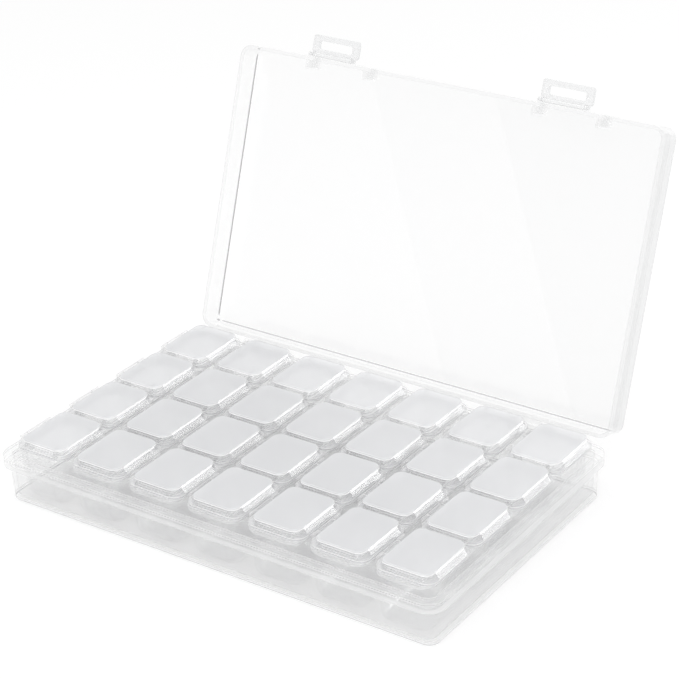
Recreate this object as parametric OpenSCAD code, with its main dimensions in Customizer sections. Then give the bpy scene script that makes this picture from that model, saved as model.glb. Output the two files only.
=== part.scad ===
// Clear bead organizer case: a hinged case holding seven lift-out strips,
// each strip with four cups and each cup with its own flip lid.
// Millimetres, +Z up. The origin is the middle of the underside, +X runs along
// the long side and +Y from the latch side to the hinge side.
// The case lid is drawn open and the small lids shut.

/* [Case] */
// Width of the case along its long side, over the rim flange
case_w = 175; // [172:0.5:190]
// Depth of the case from front to back, over the rim flange
case_d = 108.5; // [106:0.5:120]
// Height of the case base from its underside to its rim
base_h = 17; // [16:0.5:19]
// Height of the clear lid from the rim to its top
lid_h = 10; // [9:0.5:14]
// Thickness of the case walls
wall = 1.3; // [1:0.1:1.6]
// Thickness of the case floor
floor_t = 1.3; // [1:0.1:2]
// Thickness of the lid plate
plate_t = 1.3; // [1:0.1:1.6]
// Outer corner radius of the case walls
corner_r = 4.5; // [3.5:0.5:7]
// How far the base walls lean in from rim to floor
base_draft = 0.5; // [0.2:0.1:0.8]
// How far the lid walls lean in from rim to plate
lid_draft = 0.3; // [0:0.1:0.6]
// Radius of the rounded edge round the floor and the lid plate
edge_round = 0.8; // [0.5:0.1:1]

/* [Rim flange] */
// How far the flange stands out from the base wall
flange_out = 1.9; // [1.5:0.1:2.4]
// Height of the flange
flange_h = 3.8; // [3:0.1:5]

/* [Case hinge] */
// How far each of the two hinges is from the middle
hinge_x = 55; // [35:1:65]
// Length of the lid barrel in each hinge
hinge_barrel_l = 10; // [6:0.5:16]
// Width of each ear on the base
hinge_ear_w = 4; // [3:0.5:6]
// Outer radius of the ears and barrels
hinge_r = 2; // [1.7:0.1:2.1]
// Radius of the hinge pins moulded on the lid barrels
hinge_pin_r = 1.1; // [0.8:0.05:1.3]
// How far the hinge axis is behind the back of the flange
hinge_back = 0.4; // [0.3:0.1:1]
// How far the hinge axis is below the rim
hinge_drop = 0.5; // [0.2:0.1:0.8]
// Angle that the case lid is drawn open
lid_open = 110; // [95:1:115]

/* [Latches] */
// How far each of the two latches is from the middle
latch_x = 46.8; // [30:0.2:60]
// Width of a latch
latch_w = 19.3; // [16:0.1:24]
// Length of a latch from its hinge line to its tip
latch_l = 7; // [6.8:0.1:8]
// Thickness of a latch plate
latch_t = 1.6; // [1.2:0.1:2]
// Width of the bars at the sides of the latch window
latch_side = 2.5; // [2:0.1:3.5]
// Distance from the hinge line to the near edge of the latch plate
latch_start = 0.5; // [0.4:0.1:0.8]
// Distance from the hinge line to the near edge of the window
latch_root = 2.1; // [1.9:0.1:2.3]
// Width of the bar at the tip, which snaps under the catch
latch_tip = 2; // [1.5:0.1:2.4]
// Radius of the latch barrel
latch_barrel_r = 0.85; // [0.75:0.05:0.9]
// Radius of the pins at the ends of the latch barrel
latch_pin_r = 0.5; // [0.4:0.05:0.55]
// Outer radius of the latch ears on the lid
latch_ear_r = 1; // [0.9:0.05:1.05]
// Width of each latch ear
latch_ear_w = 1.5; // [1.2:0.1:2]
// How far the catches stand out from the flange
catch_out = 1.3; // [1:0.1:1.4]

/* [Blocks behind the latches] */
// Distance from the middle of a latch to each block inside the lid wall
block_x = 12.3; // [11.5:0.1:14]
// Width of each block
block_w = 4.6; // [3:0.1:6]
// How far each block reaches in from the lid wall
block_d = 3.4; // [2:0.1:5]
// How far each block hangs below the lid plate
block_drop = 1.9; // [1:0.1:2]

/* [Cup strips] */
// Gap between neighbouring strips
strip_gap = 3.3; // [3:0.1:4]
// Gap between the ends of a strip and the case wall
strip_end_gap = 0.6; // [0.4:0.1:1.5]
// Height of a strip, from the case floor to its rim
strip_h = 18.3; // [17.5:0.1:19]
// Thickness of the rim plate that joins the four cups
strip_rim_t = 1.2; // [0.8:0.1:2]
// How far the rim plate stands out past the cups
strip_rim_out = 0.4; // [0.2:0.1:0.8]
// Gap between neighbouring cups of one strip
cup_gap = 1.4; // [1:0.1:2.4]
// Thickness of the cup walls and floors
cup_wall = 1; // [0.8:0.1:1.4]
// Outer radius of the upright corners of a cup
cup_corner = 4.8; // [4:0.1:6]
// Outer radius of the rounded edge round the bottom of a cup
cup_round = 3; // [2:0.1:3.5]
// How far the cup walls lean in from rim to floor
cup_draft = 0.5; // [0.2:0.1:0.8]

/* [Cup lids] */
// Thickness of the flat border of a cup lid
lid_border_t = 1.2; // [1:0.1:1.4]
// Height of the raised top above the border
dome_h = 2.3; // [1.8:0.1:2.6]
// How far the raised top is set in from the ends of the border
dome_inset = 0.3; // [0.2:0.1:0.6]
// Width of the flat ledge between the hinge side and the raised top
hinge_ledge = 1.3; // [1.2:0.1:2]
// How far the sides of the raised top lean in
dome_draft = 0.5; // [0.3:0.1:0.8]
// Thickness of the raised top
dome_wall = 1; // [0.8:0.1:1.2]
// Radius of the rounded edge round the raised top
dome_round = 0.6; // [0.4:0.1:0.9]
// Radius of the corners of a cup lid
lid_corner = 4; // [3:0.1:5]
// Gap between neighbouring cup lids along a strip
cup_lid_gap = 0.9; // [0.6:0.1:1.4]
// How far the thumb lip stands out past the strip's rim
lip_out = 1.2; // [0.8:0.1:1.4]
// Width of the sloping face that leads up from the thumb lip
lip_slope = 1.5; // [1.2:0.1:1.8]
// Depth of the plug that fits into the mouth of the cup
plug_h = 1.4; // [1:0.1:2]
// Thickness of the plug's wall
plug_t = 0.8; // [0.6:0.1:1]
// How far the hinge line of a cup lid is outside the strip's rim
cup_hinge_out = 0.6; // [0.5:0.05:0.7]
// Radius of the beads along the hinge line
cup_hinge_r = 0.65; // [0.5:0.05:0.7]
// Length of the lid's hinge bead
cup_hinge_l = 8; // [5:0.5:10]
// Length of each hinge bead on the strip
cup_bead_l = 3; // [2:0.5:4]

/* [Clearances] */
// Radial running clearance of the hinge and latch pins
pin_clear = 0.05; // [0.03:0.01:0.09]
// Side gap between parts that turn next to each other
side_clear = 0.3; // [0.2:0.05:0.4]
// Gap between a latch plate and the flange when it is snapped shut
latch_clear = 0.2; // [0.15:0.05:0.3]
// Gap between the plug of a cup lid and the cup wall
plug_clear = 0.25; // [0.2:0.05:0.4]
// Gap under a lid or a strip where it sits down on another piece
seat_clear = 0.05; // [0.02:0.01:0.1]

/* [Hidden] */
$fn = 48;
strips = 7;
cups = 4;
// Radius of the corners of a latch plate
latch_corner = 1.2;
// Play between a snapped latch and its catch
catch_play = 0.5;
// Step, in degrees, of the points along a rounded edge
round_step = 22.5;
// Overlap that fuses two shapes of the same piece
fuse = 0.3;

wall_w = case_w - 2 * flange_out;
wall_d = case_d - 2 * flange_out;
inner_w = wall_w - 2 * wall;
inner_d = wall_d - 2 * wall;

strip_pitch = inner_w / strips;
strip_w = strip_pitch - strip_gap;
strip_l = inner_d - 2 * strip_end_gap;
cup_pitch = strip_l / cups;
strip_z = floor_t + seat_clear;
rim_z = strip_z + strip_h;
// Outer size of a cup at its mouth
cup_w = strip_w - 2 * strip_rim_out;
cup_l = cup_pitch - cup_gap;
// Size of a cup's mouth
mouth_w = cup_w - 2 * cup_wall;
mouth_l = cup_l - 2 * cup_wall;
mouth_r = cup_corner - cup_wall;

// A cup lid's border runs from just inside the hinge line out to the thumb lip
border_left = -strip_w / 2 + strip_rim_out;
border_right = strip_w / 2 + lip_out;
border_w = border_right - border_left;
border_mid = (border_left + border_right) / 2;
border_l = cup_pitch - cup_lid_gap;
border_z = rim_z + seat_clear;
dome_z = border_z + lid_border_t;
// The upper edge of the raised top ends where the lip's slope ends
dome_left = border_left + hinge_ledge;
dome_right = border_right - lip_slope + dome_draft;
dome_w = dome_right - dome_left;
dome_mid = (dome_left + dome_right) / 2;
dome_l = border_l - 2 * dome_inset;
// A cup lid turns about a line level with the top of its border
cup_hinge_x = -strip_w / 2 - cup_hinge_out;
cup_hinge_z = dome_z;

hinge_y = case_d / 2 + hinge_back;
hinge_z = base_h - hinge_drop;
hinge_relief = hinge_r + side_clear;
ear_x = hinge_barrel_l / 2 + side_clear + hinge_ear_w / 2;
pin_reach = ear_x + hinge_ear_w / 2;

// The latch turns about a line that is close in front of the lid wall and just above the rim
latch_y = -wall_d / 2 - latch_barrel_r - latch_clear;
latch_z = base_h + latch_ear_r + latch_clear;
latch_off = case_d / 2 + latch_clear + latch_y;
latch_ear_x = latch_w / 2 - latch_ear_w / 2;
latch_barrel_l = latch_w - 2 * latch_ear_w - 2 * side_clear;
window_far = latch_l - latch_tip;
window_w = latch_w - 2 * latch_side;
catch_low = latch_z - window_far + catch_play;
catch_high = latch_z - latch_root - catch_play;
catch_w = window_w - 2 * side_clear;

// Points, as [distance out, height], of the side of a block from the arc centre of a
// corner outwards: it grows from r by grow over height h, with rounded lower and upper edges
function side_points(r, h, grow, low = 0, high = 0) = concat(
    [[0, 0]],
    low > 0
        ? [for (a = [0:round_step:90]) [r - low + low * sin(a), low - low * cos(a)]]
        : [[r, 0]],
    high > 0
        ? [for (a = [0:round_step:90]) [r + grow - high + high * cos(a), h - high + high * sin(a)]]
        : [[r + grow, h]],
    [[0, h]]
);

function mirrored(points, reach) = concat(
    [for (p = points) [reach + p[0], p[1]]],
    [for (i = [len(points) - 1:-1:0]) [-reach - points[i][0], points[i][1]]]
);

// A block with a rounded-corner outline, w by d at its bottom, made of a quarter turn at
// each corner and straight runs between them
module block(w, d, h, r, grow = 0, low = 0, high = 0) {
    side = side_points(r, h, grow, low, high);
    run_x = w / 2 - r;
    run_y = d / 2 - r;
    for (turn = [0:3]) {
        x = (turn == 0 || turn == 3) ? run_x : -run_x;
        y = turn < 2 ? run_y : -run_y;
        translate([x, y, 0])
            rotate([0, 0, 90 * turn])
                rotate_extrude(angle = 90)
                    polygon(side);
    }
    rotate([90, 0, 0])
        linear_extrude(2 * run_y, center = true)
            polygon(mirrored(side, run_x));
    for (back = [0, 180])
        rotate([0, 0, back])
            translate([0, run_y, 0])
                rotate([90, 0, 90])
                    linear_extrude(2 * run_x, center = true)
                        polygon(side);
}

module at_strip(s) {
    translate([(s - (strips + 1) / 2) * strip_pitch, 0, 0]) children();
}

module at_cup(c) {
    translate([0, (c - (cups + 1) / 2) * cup_pitch, 0]) children();
}

// A round bar along X, centred on the origin
module bar(r, l) {
    rotate([0, 90, 0]) cylinder(r = r, h = l, center = true);
}

module at_hinges() {
    for (side = [-1, 1])
        translate([side * hinge_x, hinge_y, hinge_z]) children();
}

module case_base() {
    color([0.93, 0.94, 0.95])
    difference() {
        union() {
            difference() {
                union() {
                    block(wall_w - 2 * base_draft, wall_d - 2 * base_draft, base_h,
                          corner_r - base_draft, base_draft, edge_round);
                    translate([0, 0, base_h - flange_h])
                        block(case_w, case_d, flange_h, corner_r + flange_out);
                }
                base_hollow();
                at_hinges() bar(hinge_relief, hinge_barrel_l + 2 * side_clear);
            }
            at_hinges() for (side = [-1, 1])
                translate([side * ear_x, 0, 0]) bar(hinge_r, hinge_ear_w);
            catches();
        }
        at_hinges() bar(hinge_pin_r + pin_clear, 2 * pin_reach + 2 * fuse);
    }
}

// A hollow w by d at its mouth, cut on past the mouth along the lean of its walls
module hollow(w, d, depth, r, lean, low) {
    block(w - 2 * lean, d - 2 * lean, depth + fuse, r - lean, lean * (1 + fuse / depth), low);
}

module base_hollow() {
    depth = base_h - floor_t;
    translate([0, 0, floor_t])
        hollow(inner_w, inner_d, depth, corner_r - wall, base_draft * depth / base_h,
               edge_round);
}

// Wedges on the front of the flange that the latch tips snap under
module catches() {
    face = -case_d / 2;
    for (side = [-1, 1])
        translate([side * latch_x, 0, 0])
            rotate([90, 0, 90])
                linear_extrude(catch_w, center = true)
                    polygon([
                        [face + fuse, catch_low],
                        [face - catch_out, catch_low],
                        [face - catch_out, catch_low + catch_play],
                        [face, catch_high],
                        [face + fuse, catch_high]
                    ]);
}

// Carries a shape drawn with the case shut to where the open lid holds it
module opened() {
    translate([0, hinge_y, hinge_z])
        rotate([-lid_open, 0, 0])
            translate([0, -hinge_y, -hinge_z])
                children();
}

module case_lid() {
    color([0.97, 0.98, 0.99])
    opened() {
        difference() {
            union() {
                difference() {
                    translate([0, 0, base_h + seat_clear])
                        block(wall_w, wall_d, lid_h - seat_clear, corner_r, -lid_draft,
                              0, edge_round);
                    lid_hollow();
                }
                at_hinges() lid_barrel();
                at_latches() latch_ears();
                lid_blocks();
            }
            at_latches()
                translate([0, latch_y, latch_z])
                    bar(latch_pin_r + pin_clear, latch_w + 2 * fuse);
        }
    }
}

module lid_hollow() {
    depth = lid_h - plate_t;
    translate([0, 0, base_h + depth])
        mirror([0, 0, 1])
            hollow(inner_w, inner_d, depth, corner_r - wall, lid_draft, edge_round);
}

// The lid's share of a hinge: a barrel with its two moulded pins, the web that joins it
// to the wall, and a heel that stops the lid against the flange when it is open
module lid_barrel() {
    web_w = 0.9 * hinge_barrel_l;
    heel_w = 0.8 * hinge_barrel_l;
    heel_l = 1.6 * hinge_r;
    bar(hinge_r, hinge_barrel_l);
    bar(hinge_pin_r, 2 * pin_reach);
    translate([-web_w / 2, -hinge_back - flange_out - wall / 2, hinge_r / 2])
        cube([web_w, hinge_back + flange_out + wall / 2, 0.4 * hinge_r]);
    rotate([lid_open, 0, 0])
        translate([-heel_w / 2, -hinge_back + seat_clear, -heel_l])
            cube([heel_w, hinge_r / 2 + hinge_back, heel_l]);
}

module at_latches() {
    for (side = [-1, 1])
        translate([side * latch_x, 0, 0]) children();
}

module latch_ears() {
    for (side = [-1, 1])
        translate([side * latch_ear_x, latch_y, latch_z]) {
            bar(latch_ear_r, latch_ear_w);
            translate([-latch_ear_w / 2, 0, -latch_ear_r / 2])
                cube([latch_ear_w, latch_barrel_r + latch_clear + wall / 2, 1.4 * latch_ear_r]);
        }
}

// Stiffening blocks inside the lid's front wall, on both sides of each latch
module lid_blocks() {
    back = -inner_d / 2 + lid_draft - fuse;
    top = base_h + lid_h - plate_t;
    at_latches() for (side = [-1, 1])
        translate([side * block_x - block_w / 2, back, top - block_drop])
            cube([block_w, block_d + fuse, block_drop + fuse]);
}

// A latch, standing straight out from the open lid's front wall
module latch(side) {
    color([0.9, 0.91, 0.92])
    opened()
        translate([side * latch_x, latch_y, latch_z]) {
            bar(latch_barrel_r, latch_barrel_l);
            bar(latch_pin_r, latch_w);
            latch_knee();
            latch_plate();
        }
}

// Joins the barrel to the plate, and stays above the rim when the latch is shut
module latch_knee() {
    reach = latch_barrel_r + latch_clear;
    translate([-latch_barrel_l / 2, -reach, 0])
        cube([latch_barrel_l, reach, latch_off + fuse]);
}

module latch_plate() {
    plate_mid = (latch_start + latch_l) / 2;
    window_mid = (latch_root + window_far) / 2;
    difference() {
        translate([0, -plate_mid, latch_off])
            block(latch_w, latch_l - latch_start, latch_t, latch_corner);
        translate([0, -window_mid, latch_off - fuse])
            block(window_w, window_far - latch_root, latch_t + 2 * fuse, latch_corner / 2);
    }
}

module cup_strip(s) {
    color([0.88, 0.89, 0.91])
    at_strip(s)
        difference() {
            union() {
                for (c = [1:cups]) at_cup(c)
                    translate([0, 0, strip_z])
                        block(cup_w - 2 * cup_draft, cup_l - 2 * cup_draft, strip_h,
                              cup_corner - cup_draft, cup_draft, cup_round);
                translate([0, 0, rim_z - strip_rim_t])
                    block(strip_w, strip_l, strip_rim_t, cup_corner);
                for (c = [1:cups]) at_cup(c) strip_beads();
            }
            for (c = [1:cups]) at_cup(c) cup_hollow();
        }
}

module cup_hollow() {
    depth = strip_h - cup_wall;
    translate([0, 0, strip_z + cup_wall])
        hollow(mouth_w, mouth_l, depth, mouth_r, cup_draft * depth / strip_h,
               cup_round - cup_wall);
}

// A bead of length l along the hinge line of a cup lid
module hinge_bead(l) {
    translate([cup_hinge_x, 0, cup_hinge_z])
        rotate([90, 0, 0])
            cylinder(r = cup_hinge_r, h = l, center = true);
}

// The strip's two beads of one cup's hinge, one on each side of the lid's bead, each on
// a post that rises from a foot on the rim plate
module strip_beads() {
    post = 0.8 * cup_hinge_out;
    foot_z = rim_z - strip_rim_t;
    for (side = [-1, 1])
        translate([0, side * (cup_hinge_l / 2 + side_clear + cup_bead_l / 2), 0]) {
            hinge_bead(cup_bead_l);
            translate([cup_hinge_x - post, -cup_bead_l / 2, foot_z])
                cube([2 * post, cup_bead_l, cup_hinge_z - foot_z]);
            translate([cup_hinge_x - post, -cup_bead_l / 2, foot_z])
                cube([post + cup_hinge_out + fuse, cup_bead_l, strip_rim_t]);
        }
}

// The lid's bead and the web that joins it to the border
module lid_bead() {
    web_t = 0.6 * lid_border_t;
    hinge_bead(cup_hinge_l);
    translate([cup_hinge_x, -cup_hinge_l / 2, dome_z - web_t])
        cube([border_left - cup_hinge_x + fuse, cup_hinge_l, web_t]);
}

module cup_lid(s, c) {
    color([0.9, 0.91, 0.93])
    at_strip(s) at_cup(c) {
        difference() {
            union() {
                translate([border_mid, 0, border_z])
                    block(border_w, border_l, lid_border_t, lid_corner);
                translate([dome_mid, 0, dome_z])
                    block(dome_w, dome_l, dome_h, lid_corner - dome_inset, -dome_draft,
                          0, dome_round);
                thumb_lip();
                plug();
            }
            lid_inside();
        }
        lid_bead();
    }
}

// The broad sloping face over the edge that a fingertip lifts
module thumb_lip() {
    run = dome_l - 2 * lid_corner;
    inner = dome_right - 2 * dome_wall;
    rotate([90, 0, 0])
        linear_extrude(run, center = true)
            polygon([
                [inner, dome_z - fuse],
                [border_right, dome_z - fuse],
                [border_right, dome_z],
                [border_right - lip_slope, dome_z + dome_h],
                [inner, dome_z + dome_h]
            ]);
}

module plug() {
    translate([0, 0, rim_z - plug_h])
        block(mouth_w - 2 * plug_clear, mouth_l - 2 * plug_clear, plug_h + seat_clear + fuse,
              mouth_r - plug_clear);
}

// The hollow under the raised top, as wide as the inside of the plug
module lid_inside() {
    inset = plug_clear + plug_t;
    low = rim_z - plug_h - fuse;
    ceiling = dome_z + dome_h - dome_wall;
    translate([0, 0, low])
        block(mouth_w - 2 * inset, mouth_l - 2 * inset, ceiling - low, mouth_r - inset);
}

case_base();
case_lid();
latch(-1);  // latch_left
latch(1);  // latch_right
for (s = [1:strips]) {
    cup_strip(s);
    for (c = [1:cups])
        cup_lid(s, c);
}
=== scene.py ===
import math

import bpy
from bpy.props import FloatProperty, FloatVectorProperty, PointerProperty
from mathutils import Matrix, Vector

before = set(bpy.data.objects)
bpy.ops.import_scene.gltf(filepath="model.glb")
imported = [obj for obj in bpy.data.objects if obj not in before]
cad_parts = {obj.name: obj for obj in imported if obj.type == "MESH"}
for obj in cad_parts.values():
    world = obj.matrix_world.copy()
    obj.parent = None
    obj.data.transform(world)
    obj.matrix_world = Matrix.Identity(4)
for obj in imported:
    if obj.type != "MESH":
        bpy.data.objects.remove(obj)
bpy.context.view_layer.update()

bl_info = {
    "name": "Clear Bead Organizer Case",
    "version": (1, 0, 0),
    "blender": (4, 5, 0),
    "location": "3D View > Sidebar > Bead Case",
    "description": "Finishes the clear plastics of the case and sets its stage",
    "category": "Object",
}

MM = 0.001
WHITE = (1.0, 1.0, 1.0)

# Places on the moulded pieces
BASE_TOP = 17.0 * MM
BASE_RIM_FOOT = 13.2 * MM
STRIP_RIM_FOOT = 18.45 * MM
CUP_BORDER_FOOT = 19.7 * MM
CUP_BORDER_TOP = 20.9 * MM
CUP_TOP = 23.2 * MM
LID_HINGE_Y, LID_HINGE_Z = 54.65 * MM, 16.5 * MM
LID_OPEN = math.radians(110.0)

# Places on the case lid when it is shut
LID_RIM = 17.2 * MM
LID_PLATE_UNDERSIDE = 25.7 * MM
LID_INSIDE_X, LID_INSIDE_Y = 84.1 * MM, 50.9 * MM
LID_OUTSIDE_X = 85.6 * MM
LATCH_X = 46.8 * MM
BLOCK_OFF_LATCH, BLOCK_REACH = 12.3 * MM, 2.6 * MM
BLOCK_BACK_Y = -47.8 * MM

# Thin painted highlight and painted shade lines: where the middle of each is, and how far it
# fades out to both sides
BASE_RIM_HIGHLIGHT = (BASE_TOP - 0.3 * MM, 0.35 * MM)
BASE_RIM_SHADE = (BASE_TOP - 1.1 * MM, 0.3 * MM)
BASE_RIM_FOOT_HIGHLIGHT = (BASE_RIM_FOOT, 0.3 * MM)
BASE_FOOT_HIGHLIGHT = (1.3 * MM, 0.5 * MM)
BASE_FOOT_SHADE_LINE = (0.45 * MM, 0.35 * MM)
LID_CORNER_SHADE_X = (0.15 * MM - LID_INSIDE_X, 0.45 * MM)
LID_CORNER_SHADE_Y = (LID_INSIDE_Y - 0.15 * MM, 0.45 * MM)
CUP_TOP_HIGHLIGHT = (CUP_TOP - 0.4 * MM, 0.3 * MM)
CUP_BORDER_HIGHLIGHT = (CUP_BORDER_TOP - 0.15 * MM, 0.22 * MM)
CUP_BORDER_SHADE = (CUP_BORDER_FOOT + 0.15 * MM, 0.25 * MM)

# Edges between zones: where each fade begins and where it ends
FIRST_BAND_EDGE = (-10.5 * MM, -9.5 * MM)
SECOND_BAND_EDGE = (41.0 * MM, 42.0 * MM)
LID_RIM_EDGE = (LID_RIM + 0.1 * MM, LID_RIM + 0.5 * MM)
LID_WALL_EDGE = (LID_PLATE_UNDERSIDE - 0.8 * MM, LID_PLATE_UNDERSIDE - 0.1 * MM)
LID_SIDE_EDGE = (LID_OUTSIDE_X - 1.0 * MM, LID_OUTSIDE_X - 0.6 * MM)
LID_CORNER_LOW = (LID_PLATE_UNDERSIDE - 1.1 * MM, LID_PLATE_UNDERSIDE - 0.6 * MM)
LID_CORNER_HIGH = (LID_PLATE_UNDERSIDE + 0.5 * MM, LID_PLATE_UNDERSIDE + 0.8 * MM)
BLOCK_LOW_EDGE = (22.6 * MM, 23.4 * MM)
BLOCK_BACK_EDGE = (BLOCK_BACK_Y - 0.4 * MM, BLOCK_BACK_Y + 0.2 * MM)
STRIP_RIM_EDGE = (STRIP_RIM_FOOT - 0.15 * MM, STRIP_RIM_FOOT + 0.15 * MM)
CUP_TOP_EDGE = (CUP_TOP - 0.25 * MM, CUP_TOP - 0.05 * MM)

# The faint bands over the lid's plate: how far they slant, and the share of their haze that
# the first of their two edges brings
BAND_SLANT = 0.5
FIRST_BAND_SHARE = 0.4

# The plastic itself: its refraction, the share it mirrors straight on, and its noises,
# each a scale and a detail, with how much they change the haze, colour and gloss
REFRACTION = 1.49
MIRROR_STRAIGHT_ON = 0.04
MIRROR_POWER = 5.0
CLOUD = (45.0, 2.0)
FLOW = (160.0, 3.0)
GRAIN = (2600.0, 1.0)
CLOUD_IN_HAZE = 0.16
CLOUD_IN_COLOUR = 0.2
GRAIN_IN_ROUGHNESS = 0.05
FLOW_STRENGTH = 0.1
FLOW_DEPTH = 0.02 * MM

# The stage: the floor lies just under the case, and each softbox has a name, a place, a
# width and height, and the setting of its power
FLOOR_Z = -0.2 * MM
LIT_POINT = Vector((0.0, 0.0, 0.02))
SOFTBOXES = (
    ("softbox_right", (0.57, 0.65, 0.27), (0.45, 0.22), "right_power"),
    ("softbox_front", (0.4, -0.8, 0.3), (0.6, 0.4), "front_power"),
    ("softbox_top", (-0.2, -0.25, 0.9), (0.7, 0.5), "top_power"),
)
SENSOR_WIDTH = 36.0
CLEAR_LAYERS = 64


class Value:
    """A shader socket that can be used in Python sums."""

    def __init__(self, tree, socket):
        self.tree = tree
        self.socket = socket

    def math(self, operation, *values):
        return node(self.tree, "ShaderNodeMath", {"operation": operation},
                    dict(enumerate((self,) + values)))

    def __add__(self, other):
        return self.math("ADD", other)

    def __sub__(self, other):
        return self.math("SUBTRACT", other)

    def __rsub__(self, other):
        return node(self.tree, "ShaderNodeMath", {"operation": "SUBTRACT"},
                    {0: other, 1: self})

    def __mul__(self, other):
        return self.math("MULTIPLY", other)

    def __pow__(self, other):
        return self.math("POWER", other)

    def __or__(self, other):
        """The larger of two masks."""
        return self.math("MAXIMUM", other)

    def __abs__(self):
        return self.math("ABSOLUTE")

    __radd__ = __add__
    __rmul__ = __mul__

    def above(self, low, high):
        """0 below low, 1 above high and smooth between."""
        return node(self.tree, "ShaderNodeMapRange",
                    {"interpolation_type": "SMOOTHSTEP"},
                    {"Value": self, "From Min": low, "From Max": high})

    def below(self, low, high):
        """1 below low, 0 above high and smooth between."""
        return 1 - self.above(low, high)

    def near(self, place, reach):
        """1 at place, falling to 0 at reach away from it."""
        return abs(self - place).below(0.0, reach)


def node(tree, kind, settings=None, inputs=None, output=0):
    """Adds a node: its settings first, then the values or links of its sockets."""
    made = tree.nodes.new(kind)
    for name, value in (settings or {}).items():
        setattr(made, name, value)
    for name, value in (inputs or {}).items():
        if isinstance(value, Value):
            tree.links.new(value.socket, made.inputs[name])
        else:
            made.inputs[name].default_value = value
    return Value(tree, made.outputs[output]) if made.outputs else None


def blank_material(name):
    """A material with an empty node tree, and that tree."""
    material = bpy.data.materials.new(name)
    material.use_nodes = True
    material.node_tree.nodes.clear()
    return material, material.node_tree


def finish_tree(tree, shader):
    node(tree, "ShaderNodeOutputMaterial", {}, {"Surface": shader})


def mixed(tree, share, first, second):
    """first and second colours mixed by share."""
    return node(tree, "ShaderNodeMix", {"data_type": "RGBA"},
                {"Factor": share, 6: first, 7: second}, output=2)


def noise(tree, place, scale, detail):
    return node(tree, "ShaderNodeTexNoise", {},
                {"Vector": place, "Scale": scale, "Detail": detail, "Roughness": 0.5})


def around_one(value, reach):
    """A value from 0 to 1 as a factor that goes from half of reach below 1 to half above."""
    return (1.0 - reach / 2) + reach * value


def coordinates(tree, place):
    """The three coordinates of a vector as values."""
    return [node(tree, "ShaderNodeSeparateXYZ", {}, {"Vector": place}, output=axis)
            for axis in range(3)]


def shut_coordinates(tree, place):
    """The coordinates that a point of the open case lid has when the lid is shut."""
    x, y, z = coordinates(tree, place)
    out, up = y - LID_HINGE_Y, z - LID_HINGE_Z
    shut_y = out * math.cos(LID_OPEN) - up * math.sin(LID_OPEN) + LID_HINGE_Y
    shut_z = out * math.sin(LID_OPEN) + up * math.cos(LID_OPEN) + LID_HINGE_Z
    return x, shut_y, shut_z


def clear_plastic(name, finish, zones=None):
    """A clear moulded plastic: thin faces let the light through with a milky haze, faces
    that turn away show more of it, and a clear gloss lies over both. zones gives places
    where the haze and its colour differ, each as a mask, a colour and a haze."""
    material, tree = blank_material(name)
    place = node(tree, "ShaderNodeTexCoord", output="Object")
    cloud, flow, grain = (noise(tree, place, *kind) for kind in (CLOUD, FLOW, GRAIN))
    facing_away = node(tree, "ShaderNodeLayerWeight", {}, {"Blend": 0.5}, output="Facing")
    turned = facing_away ** finish.turn_power
    haze = finish.haze + (finish.edge_haze - finish.haze) * turned
    haze = haze * around_one(cloud, CLOUD_IN_HAZE)
    deep = [channel * finish.deepen for channel in finish.tint]
    colour = mixed(tree, turned * around_one(cloud, CLOUD_IN_COLOUR),
                   (*finish.tint, 1.0), (*deep, 1.0))
    for mask, tint, share in zones(tree, place) if zones else ():
        colour = mixed(tree, mask, colour, (*tint, 1.0))
        haze = haze + mask * (share - haze)
    bump = node(tree, "ShaderNodeBump", {},
                {"Strength": FLOW_STRENGTH, "Distance": FLOW_DEPTH, "Height": flow})
    body = node(tree, "ShaderNodeBsdfPrincipled", {}, {
        "Base Color": colour, "Roughness": finish.roughness + GRAIN_IN_ROUGHNESS * grain,
        "Alpha": haze, "Normal": bump, "IOR": REFRACTION})
    gloss = node(tree, "ShaderNodeBsdfGlossy", {}, {
        "Color": (*WHITE, 1.0), "Roughness": finish.roughness, "Normal": bump})
    mirror = MIRROR_STRAIGHT_ON + (1.0 - MIRROR_STRAIGHT_ON) * facing_away ** MIRROR_POWER
    finish_tree(tree, node(tree, "ShaderNodeMixShader", {}, {0: mirror, 1: body, 2: gloss}))
    return material


def dress(start, material):
    """Gives the CAD nodes whose names begin with start a material."""
    names = [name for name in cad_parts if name.startswith(start)]
    if not names:
        raise RuntimeError("no piece is named " + start)
    for name in sorted(names):
        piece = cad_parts[name]
        piece.data.materials.clear()
        piece.data.materials.append(material)


def colour_setting(name, description, default):
    return FloatVectorProperty(name=name, description=description, subtype="COLOR",
                               size=3, default=default, min=0.0, max=1.0)


def share_setting(name, description, default):
    return FloatProperty(name=name, description=description, subtype="FACTOR",
                         default=default, min=0.0, max=1.0)


def tint_setting(default):
    return colour_setting("Tint", "Colour of the haze in the plastic", default)


def haze_setting(default):
    return share_setting("Haze", "How much a face seen straight on hides", default)


def edge_haze_setting(default):
    return share_setting("Edge haze", "How much a face seen edge on hides", default)


class Moulding:
    """Settings that every clear plastic has."""
    turn_power: FloatProperty(
        name="Turn power", description="How late the edge haze sets in as a face turns away",
        default=3.0, min=1.0, max=8.0)
    deepen: share_setting("Deepen", "Brightness of the haze seen edge on, as a share", 0.95)
    roughness: share_setting("Roughness", "Roughness of the moulded surface", 0.12)


class CaseFinish(Moulding, bpy.types.PropertyGroup):
    """Look of the case base"""
    tint: tint_setting((0.99, 0.993, 1.0))
    haze: haze_setting(0.09)
    edge_haze: edge_haze_setting(0.28)
    # Painted shade: a grey line along the foot, where the case stands on the floor
    shade_line_tint: colour_setting("Foot line", "Colour of the thin line along the foot",
                              (0.5, 0.5, 0.51))
    shade_line_haze: share_setting("Foot line haze", "How much the line along the foot hides", 0.8)
    # The haze of the painted highlight lines and of the painted shade line under the rim's
    # top
    highlight_and_shade_haze: share_setting("Light lines", "How much the light lines of the rim hide", 0.5)
    shade_tint: colour_setting("Rim shade", "Colour of the line under the rim's top",
                               (0.85, 0.853, 0.86))


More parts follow.
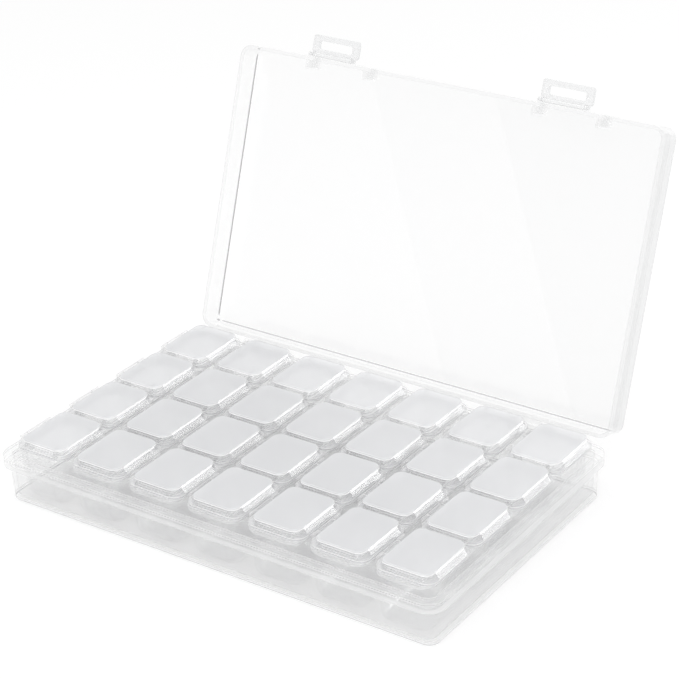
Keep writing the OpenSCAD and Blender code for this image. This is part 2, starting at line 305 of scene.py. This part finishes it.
class LidFinish(Moulding, bpy.types.PropertyGroup):
    """Look of the case lid"""
    tint: tint_setting((0.75, 0.755, 0.76))
    haze: haze_setting(0.045)
    edge_haze: edge_haze_setting(0.5)
    band_haze: share_setting("Band haze", "Haze of the faint slanted bands", 0.1)
    wall_haze: share_setting("Wall haze", "Haze of the lid's walls", 0.07)
    side_haze: share_setting("Side haze", "Haze of the right side of the lid", 0.36)
    rim_haze: share_setting("Rim haze", "Haze of the lid's rim", 0.2)
    block_haze: share_setting("Block haze", "Haze of the blocks beside the latches", 0.4)
    # Painted shade: a dark line in the inner corner under the lid's plate
    shade_line_tint: colour_setting("Corner line", "Colour of the thin line in the inner corner",
                              (0.3, 0.3, 0.31))
    shade_line_haze: share_setting("Corner line haze", "How much the corner line hides", 0.8)


class LatchFinish(Moulding, bpy.types.PropertyGroup):
    """Look of the latches"""
    tint: tint_setting((0.82, 0.825, 0.83))
    haze: haze_setting(0.3)
    edge_haze: edge_haze_setting(0.8)


class StripFinish(Moulding, bpy.types.PropertyGroup):
    """Look of the cup strips"""
    tint: tint_setting((0.98, 0.984, 1.0))
    haze: haze_setting(0.05)
    edge_haze: edge_haze_setting(0.18)
    rim_haze: share_setting("Rim haze", "Haze of the plate that joins the cups", 0.25)


class CupLidFinish(Moulding, bpy.types.PropertyGroup):
    """Look of the small flip lids"""
    tint: tint_setting((0.98, 0.984, 1.0))
    haze: haze_setting(0.06)
    edge_haze: edge_haze_setting(0.24)
    top_tint: colour_setting("Top tint", "Colour of the flat tops", (0.79, 0.796, 0.815))
    top_haze: share_setting("Top haze", "How much the flat tops hide", 0.68)
    shade_tint: colour_setting("Border shade", "Colour of the line under the border",
                               (0.75, 0.75, 0.765))
    # The haze of the painted highlight lines and of the painted shade line under the border
    highlight_and_shade_haze: share_setting("Light lines", "How much the light lines along edges hide", 0.8)


class StageSettings(bpy.types.PropertyGroup):
    """Floor, lights and camera"""
    floor_reach: FloatProperty(
        name="Floor reach", description="Half the width of the floor",
        subtype="DISTANCE", default=4.0, min=1.0, max=10.0)
    floor_tint: colour_setting("Floor tint", "Colour of the floor", (0.4, 0.4, 0.4))
    floor_lift: share_setting("Floor lift", "Whiteness added to the floor as it is seen",
                              0.64)
    sky: share_setting("Sky", "Strength of the even light from all round", 0.7)
    right_power: FloatProperty(
        name="Right light", description="Power of the softbox behind the right side",
        subtype="POWER", default=1.5, min=0.0, max=20.0)
    front_power: FloatProperty(
        name="Front light", description="Power of the softbox in front",
        subtype="POWER", default=3.2, min=0.0, max=20.0)
    top_power: FloatProperty(
        name="Top light", description="Power of the softbox overhead",
        subtype="POWER", default=1.8, min=0.0, max=20.0)
    lens: FloatProperty(
        name="Lens", description="Focal length on a 36 mm wide sensor, in millimetres",
        default=117.19, min=20.0, max=300.0)
    place: FloatVectorProperty(
        name="Camera place", description="Where the camera stands",
        subtype="TRANSLATION", size=3, default=(0.3863, -0.5068, 0.3856))
    azimuth: FloatProperty(
        name="Azimuth", description="Turn of the view from straight behind the front",
        subtype="ANGLE", default=math.radians(35.994))
    elevation: FloatProperty(
        name="Elevation", description="Angle of the view below the horizon",
        subtype="ANGLE", default=math.radians(27.185))
    roll: FloatProperty(
        name="Roll", description="Turn of the camera about its view",
        subtype="ANGLE", default=math.radians(-2.734))


class BeadCaseSettings(bpy.types.PropertyGroup):
    """All settings of the case's look"""
    case: PointerProperty(type=CaseFinish)
    lid: PointerProperty(type=LidFinish)
    latch: PointerProperty(type=LatchFinish)
    strip: PointerProperty(type=StripFinish)
    cup_lid: PointerProperty(type=CupLidFinish)
    stage: PointerProperty(type=StageSettings)


class BEADCASE_OT_base(bpy.types.Operator):
    """Dress the case base in clear plastic, with painted highlight lines on its rim and near
    its foot, a painted shade line under the rim's top and a painted shade line along the foot
    """
    bl_idname = "beadcase.base"
    bl_label = "Case Base"

    def execute(self, context):
        finish = context.scene.bead_case.case

        def zones(tree, place):
            z = coordinates(tree, place)[2]
            # Painted highlights: white lines at the rim's top, at the rim's foot and near the
            # case's foot
            rim = z.near(*BASE_RIM_HIGHLIGHT) | z.near(*BASE_RIM_FOOT_HIGHLIGHT)
            return [(z.near(*BASE_FOOT_HIGHLIGHT) | rim, WHITE, finish.highlight_and_shade_haze),
                    # Painted shade lines: the first under the rim's top, the second along the
                    # foot
                    (z.near(*BASE_RIM_SHADE), finish.shade_tint, finish.highlight_and_shade_haze),
                    (z.near(*BASE_FOOT_SHADE_LINE), finish.shade_line_tint, finish.shade_line_haze)]

        dress("case_base", clear_plastic("case_plastic", finish, zones))
        return {"FINISHED"}


class BEADCASE_OT_lid(bpy.types.Operator):
    """Dress the case lid in clearer plastic, with a painted shade line in its inner corner"""
    bl_idname = "beadcase.lid"
    bl_label = "Case Lid"

    def execute(self, context):
        finish = context.scene.bead_case.lid

        def zones(tree, place):
            x, y, z = shut_coordinates(tree, place)
            across, out = x - BAND_SLANT * y, abs(x)
            bands = (FIRST_BAND_SHARE * across.above(*FIRST_BAND_EDGE)
                     + (1.0 - FIRST_BAND_SHARE) * across.above(*SECOND_BAND_EDGE))
            inner = out.near(LATCH_X - BLOCK_OFF_LATCH, BLOCK_REACH)
            outer = out.near(LATCH_X + BLOCK_OFF_LATCH, BLOCK_REACH)
            blocks = (inner | outer) * y.below(*BLOCK_BACK_EDGE) * z.above(*BLOCK_LOW_EDGE)
            # Painted shade: a dark line along the inner corner under the plate
            corner = ((x.near(*LID_CORNER_SHADE_X) | y.near(*LID_CORNER_SHADE_Y))
                      * z.above(*LID_CORNER_LOW) * z.below(*LID_CORNER_HIGH))
            return [(bands, finish.tint, finish.band_haze),
                    (z.below(*LID_WALL_EDGE), finish.tint, finish.wall_haze),
                    (x.above(*LID_SIDE_EDGE), finish.tint, finish.side_haze),
                    (z.below(*LID_RIM_EDGE), finish.tint, finish.rim_haze),
                    (blocks, finish.tint, finish.block_haze),
                    (corner, finish.shade_line_tint, finish.shade_line_haze)]

        dress("case_lid", clear_plastic("lid_plastic", finish, zones))
        return {"FINISHED"}


class BEADCASE_OT_latches(bpy.types.Operator):
    """Dress the two latches"""
    bl_idname = "beadcase.latches"
    bl_label = "Latches"

    def execute(self, context):
        finish = context.scene.bead_case.latch
        dress("latch_", clear_plastic("latch_plastic", finish))
        return {"FINISHED"}


class BEADCASE_OT_strips(bpy.types.Operator):
    """Dress the seven cup strips"""
    bl_idname = "beadcase.strips"
    bl_label = "Cup Strips"

    def execute(self, context):
        finish = context.scene.bead_case.strip

        def zones(tree, place):
            z = coordinates(tree, place)[2]
            return [(z.above(*STRIP_RIM_EDGE), WHITE, finish.rim_haze)]

        dress("cup_strip_", clear_plastic("strip_plastic", finish, zones))
        return {"FINISHED"}


class BEADCASE_OT_cup_lids(bpy.types.Operator):
    """Dress the small flip lids of the cups, with painted highlight lines along their edges
    and a painted shade line under their border
    """
    bl_idname = "beadcase.cup_lids"
    bl_label = "Cup Lids"

    def execute(self, context):
        finish = context.scene.bead_case.cup_lid

        def zones(tree, place):
            z = coordinates(tree, place)[2]
            # Painted highlights: white lines along the edges of the top and of the border;
            # painted shade: a grey line under the border
            edges = z.near(*CUP_TOP_HIGHLIGHT) | z.near(*CUP_BORDER_HIGHLIGHT)
            return [(z.above(*CUP_TOP_EDGE), finish.top_tint, finish.top_haze),
                    (z.near(*CUP_BORDER_SHADE), finish.shade_tint, finish.highlight_and_shade_haze),
                    (edges, WHITE, finish.highlight_and_shade_haze)]

        dress("cup_lid_", clear_plastic("cup_lid_plastic", finish, zones))
        return {"FINISHED"}


def seen_plainly(tree):
    """1 for what the camera, a gloss or a clear piece sees, and 0 for light."""
    camera, glossy, through = (node(tree, "ShaderNodeLightPath", output=ray) for ray in (
        "Is Camera Ray", "Is Glossy Ray", "Is Transmission Ray"))
    return camera | glossy | through


def floor_material(stage):
    """A pale floor that keeps its shadows and looks white to the camera and in gloss."""
    material, tree = blank_material("white_floor")
    matt = node(tree, "ShaderNodeBsdfDiffuse", {}, {"Color": (*stage.floor_tint, 1.0)})
    glow = node(tree, "ShaderNodeEmission", {},
                {"Strength": seen_plainly(tree) * stage.floor_lift})
    finish_tree(tree, node(tree, "ShaderNodeAddShader", {}, {0: matt, 1: glow}))
    return material


def add_floor(stage):
    reach = stage.floor_reach
    corners = [(-reach, -reach), (reach, -reach), (reach, reach), (-reach, reach)]
    mesh = bpy.data.meshes.new("floor")
    mesh.from_pydata([(x, y, FLOOR_Z) for x, y in corners], [], [(0, 1, 2, 3)])
    mesh.materials.append(floor_material(stage))
    floor = bpy.data.objects.new("floor", mesh)
    bpy.context.scene.collection.objects.link(floor)


def add_world(sky):
    """An even sky for light, and plain white where the camera or a reflection meets it."""
    world = bpy.data.worlds.new("studio")
    world.use_nodes = True
    tree = world.node_tree
    tree.nodes.clear()
    background = node(tree, "ShaderNodeBackground", {}, {
        "Color": (*WHITE, 1.0), "Strength": sky + seen_plainly(tree) * (1.0 - sky)})
    node(tree, "ShaderNodeOutputWorld", {}, {"Surface": background})
    bpy.context.scene.world = world


def add_softbox(name, place, size, power):
    """A rectangular softbox at place that faces the case."""
    lamp = bpy.data.lights.new(name, "AREA")
    lamp.shape = "RECTANGLE"
    lamp.size, lamp.size_y = size
    lamp.energy = power
    light = bpy.data.objects.new(name, lamp)
    towards = LIT_POINT - Vector(place)
    light.matrix_world = Matrix.LocRotScale(
        Vector(place), towards.to_track_quat("-Z", "Y"), None)
    bpy.context.scene.collection.objects.link(light)


def add_camera(stage):
    """The camera at the photograph's angle, from its azimuth, elevation and roll."""
    data = bpy.data.cameras.new("photo_camera")
    data.sensor_width = SENSOR_WIDTH
    data.lens = stage.lens
    camera = bpy.data.objects.new("photo_camera", data)
    ahead = Vector((-math.sin(stage.azimuth) * math.cos(stage.elevation),
                    math.cos(stage.azimuth) * math.cos(stage.elevation),
                    -math.sin(stage.elevation)))
    right = ahead.cross(Vector((0, 0, 1))).normalized()
    up = right.cross(ahead)
    across = math.cos(stage.roll) * right + math.sin(stage.roll) * up
    upward = -math.sin(stage.roll) * right + math.cos(stage.roll) * up
    turn = Matrix((across, upward, -ahead)).transposed()
    camera.matrix_world = Matrix.Translation(stage.place) @ turn.to_4x4()
    bpy.context.scene.collection.objects.link(camera)
    bpy.context.scene.camera = camera


class BEADCASE_OT_stage(bpy.types.Operator):
    """Add the floor, the lights, the sky and the camera"""
    bl_idname = "beadcase.stage"
    bl_label = "Stage"

    def execute(self, context):
        stage = context.scene.bead_case.stage
        add_floor(stage)
        add_world(stage.sky)
        for name, place, size, power in SOFTBOXES:
            add_softbox(name, place, size, getattr(stage, power))
        add_camera(stage)
        context.scene.view_settings.view_transform = "Standard"
        context.scene.cycles.transparent_max_bounces = CLEAR_LAYERS
        return {"FINISHED"}


class BEADCASE_PT_panel(bpy.types.Panel):
    """The steps that finish the case, in order"""
    bl_label = "Bead Case"
    bl_idname = "BEADCASE_PT_panel"
    bl_space_type = "VIEW_3D"
    bl_region_type = "UI"
    bl_category = "Bead Case"

    def draw(self, context):
        for operator in OPERATORS:
            self.layout.operator(operator.bl_idname)


OPERATORS = (
    BEADCASE_OT_base,
    BEADCASE_OT_lid,
    BEADCASE_OT_latches,
    BEADCASE_OT_strips,
    BEADCASE_OT_cup_lids,
    BEADCASE_OT_stage,
)
FINISHES = (CaseFinish, LidFinish, LatchFinish, StripFinish, CupLidFinish)
CLASSES = FINISHES + (StageSettings, BeadCaseSettings) + OPERATORS + (BEADCASE_PT_panel,)


def register():
    for cls in CLASSES:
        bpy.utils.register_class(cls)
    bpy.types.Scene.bead_case = PointerProperty(type=BeadCaseSettings)


def unregister():
    del bpy.types.Scene.bead_case
    for cls in reversed(CLASSES):
        bpy.utils.unregister_class(cls)


def main():
    register()
    for operator in OPERATORS:
        group, name = operator.bl_idname.split(".")
        getattr(getattr(bpy.ops, group), name)()


if __name__ == "__main__":
    main()
